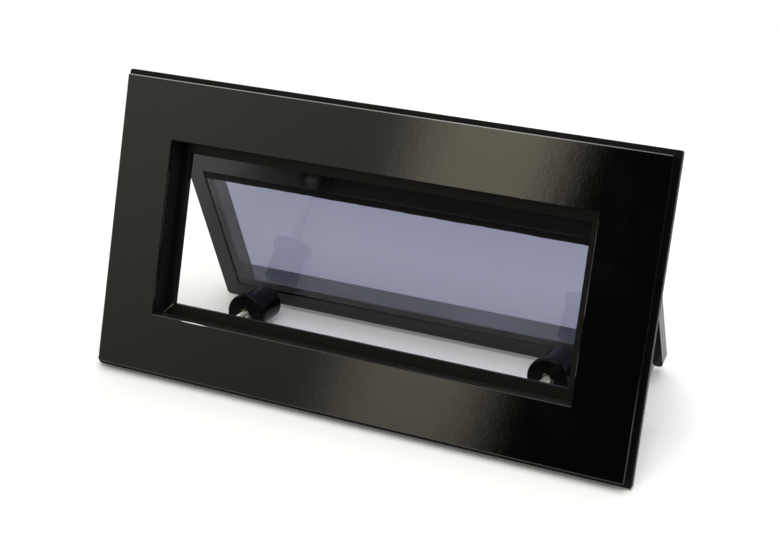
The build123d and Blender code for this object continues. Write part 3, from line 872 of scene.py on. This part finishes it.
def add_floor():
    """A pale table under the flange's lower edge and the sash, lifted to white but for a painted shade close
    behind the flange.
    """
    foot, tilt = table_tilt()
    deselect()
    bpy.ops.mesh.primitive_plane_add(size=1, location=(0, 0, 0))
    floor = bpy.context.active_object
    floor.name = "table"
    floor.scale = (2 * FLOOR_HALF_WIDTH, FLOOR_FRONT + FLOOR_BACK, 1)
    bpy.ops.object.transform_apply(location=False, rotation=False, scale=True)
    floor.rotation_euler = (tilt, 0, 0)
    along = Vector((0, cos(tilt), sin(tilt)))
    upward = Vector((0, -sin(tilt), cos(tilt)))
    floor.location = foot + along * (FLOOR_BACK - FLOOR_FRONT) / 2 - upward * FLOOR_GAP
    material = bpy.data.materials.new("pale_table")
    material.use_nodes = True
    tree = material.node_tree
    tree.nodes.clear()
    base = add(tree, "ShaderNodeBsdfDiffuse", {"Color": (FLOOR_ALBEDO, FLOOR_ALBEDO, FLOOR_ALBEDO, 1.0)})
    foot_line = Vector((0, (FLOOR_FRONT - FLOOR_BACK) / 2, 0))
    on_table = add(tree, "ShaderNodeTexCoord").outputs["Object"]
    offset = add(tree, "ShaderNodeVectorMath", {0: on_table, 1: foot_line}, operation="SUBTRACT").outputs[0]
    place = add(tree, "ShaderNodeSeparateXYZ", {0: offset}).outputs
    # Painted shade: the lift to white is left out in a strip close behind the flange, between the flange's
    # ends.
    beside = smooth(tree, maths(tree, "ABSOLUTE", place[0]), *PAINTED_SHADE_SIDE)
    from_painted_shade = maths(tree, "ABSOLUTE", maths(tree, "SUBTRACT", place[1], PAINTED_SHADE_BEHIND))
    beyond = smooth(tree, from_painted_shade, *PAINTED_SHADE_ENDS)
    lift = maths(tree, "MULTIPLY", maths(tree, "MAXIMUM", beside, beyond), FLOOR_LIFT)
    shown_lift = maths(tree, "MULTIPLY", seen_at_all(tree), lift)
    glow = add(tree, "ShaderNodeEmission", {"Color": WHITE, "Strength": shown_lift})
    both = add(tree, "ShaderNodeAddShader", {0: base.outputs[0], 1: glow.outputs[0]})
    distance = add(tree, "ShaderNodeVectorMath", {0: offset}, operation="LENGTH").outputs["Value"]
    see_through(tree, both.outputs[0], smooth(tree, distance, *FLOOR_FADE))
    floor.data.materials.append(material)
    return tilt


# The room in front: a light wall to the left that ends at a slanting edge, and a dark room to its right. Each
# step of the wall is a distance from that edge, a level and a tint, and the wall's level changes with height.
WALL_EDGE = Vector((-0.93327, 0.31085, 0.17996))
WALL_TINT = (1.0, 0.985, 0.85)
GLOW_TINT = (1.0, 0.93, 0.72)
BRIGHTEST = 2.85
WALL_STEPS = [
    (-0.026, 0.0, GLOW_TINT), (0.024, BRIGHTEST, GLOW_TINT), (0.058, BRIGHTEST, GLOW_TINT),
    (0.11, 0.72, WALL_TINT), (0.25, 0.95, WALL_TINT),
]
WALL_FADE = (0.37, 2.1)
WALL_LIMITS = (0.1, 1.3)
BACK_RISE = (-0.15, 0.35)
ROOM_LIGHT = 0.5

# The lamp above to the left that the sash's inner walls show: its direction, its edge's cosines and its level
CEILING_LAMP = Vector((-0.471, 0.045, 0.881))
CEILING_EDGE = (0.970, 0.992)
CEILING_LEVEL = 4.6


def add_world(tilt):
    """White behind the object and all round it to the camera, and the room in front as the paint shows it."""
    world = bpy.data.worlds.new("studio")
    bpy.context.scene.world = world
    world.use_nodes = True
    tree = world.node_tree
    tree.nodes.clear()
    direction = add(tree, "ShaderNodeTexCoord").outputs["Generated"]

    def along(axis):
        both = {0: direction, 1: axis}
        return add(tree, "ShaderNodeVectorMath", both, operation="DOT_PRODUCT").outputs["Value"]

    low, high = WALL_STEPS[0][0], WALL_STEPS[-1][0]
    across = add(tree, "ShaderNodeMapRange", {"Value": along(WALL_EDGE), "From Min": low, "From Max": high})
    ramp = add(tree, "ShaderNodeValToRGB", {"Fac": across.outputs["Result"]})
    ramp.color_ramp.interpolation = "EASE"
    steps = ramp.color_ramp.elements
    for place, _, _ in WALL_STEPS[1:-1]:
        steps.new((place - low) / (high - low))
    for step, (_, level, tint) in zip(steps, WALL_STEPS):
        step.color = [level / BRIGHTEST * channel for channel in tint] + [1.0]
    height = along((0, -sin(tilt), cos(tilt)))
    fade = maths(tree, "MULTIPLY_ADD", height, WALL_FADE[1], WALL_FADE[0])
    fade = maths(tree, "MINIMUM", maths(tree, "MAXIMUM", fade, WALL_LIMITS[0]), WALL_LIMITS[1])
    level = maths(tree, "MULTIPLY", fade, BRIGHTEST)
    wall = scaled(tree, ramp.outputs["Color"], level)
    behind = smooth(tree, along((0, cos(tilt), sin(tilt))), *BACK_RISE)
    lamp = smooth(tree, along(CEILING_LAMP), *CEILING_EDGE, 0.0, CEILING_LEVEL)
    unlit = mixed(tree, behind, wall, WHITE)
    room = add(tree, "ShaderNodeVectorMath", {0: unlit, 1: lamp}, operation="ADD").outputs[0]
    dim_room = scaled(tree, room, ROOM_LIGHT)
    shown = mixed(tree, seen_straight(tree), mixed(tree, seen_at_all(tree), dim_room, room), WHITE)
    background = add(tree, "ShaderNodeBackground", {"Color": shown, "Strength": 1.0})
    add(tree, "ShaderNodeOutputWorld", {"Surface": background.outputs[0]})


# A large soft lamp above, and one in front on the camera's side, which shines through the opening: the place
# of each and the point that it is aimed at, its size in metres and its power in watts
LAMPS = {
    "top_lamp": ((0, 0.3, 1.6), (0, 0.05, 0), 1.3, 11),
    "front_lamp": ((0.4, -1.1, 1.3), (0, 0.08, -0.05), 1.2, 22),
}


def add_lamps():
    """Square soft lamps."""
    for name, (place, aim, size, power) in LAMPS.items():
        data = bpy.data.lights.new(name, "AREA")
        data.shape = "SQUARE"
        data.size = size
        data.energy = power
        lamp = bpy.data.objects.new(name, data)
        bpy.context.scene.collection.objects.link(lamp)
        lamp.location = place
        lamp.rotation_euler = (Vector(aim) - Vector(place)).to_track_quat("-Z", "Y").to_euler()


def add_camera():
    """The photograph's view."""
    data = bpy.data.cameras.new("camera")
    data.sensor_width = SENSOR_WIDTH
    data.lens = SENSOR_WIDTH * FOCAL_PIXELS / PHOTO_WIDTH
    data.dof.use_dof = False
    camera = bpy.data.objects.new("camera", data)
    bpy.context.scene.collection.objects.link(camera)
    camera.location = CAMERA_AT
    camera.rotation_euler = [radians(angle) for angle in CAMERA_TURN]
    bpy.context.scene.camera = camera


bpy.context.scene.view_settings.view_transform = "Standard"
add_camera()
finish_nodes()
add_flange_screws()
add_base_screws()
add_pin_rivets()
add_swing_bolts()
add_sealant_smear()
slope = add_floor()
add_world(slope)
add_lamps()
deselect()
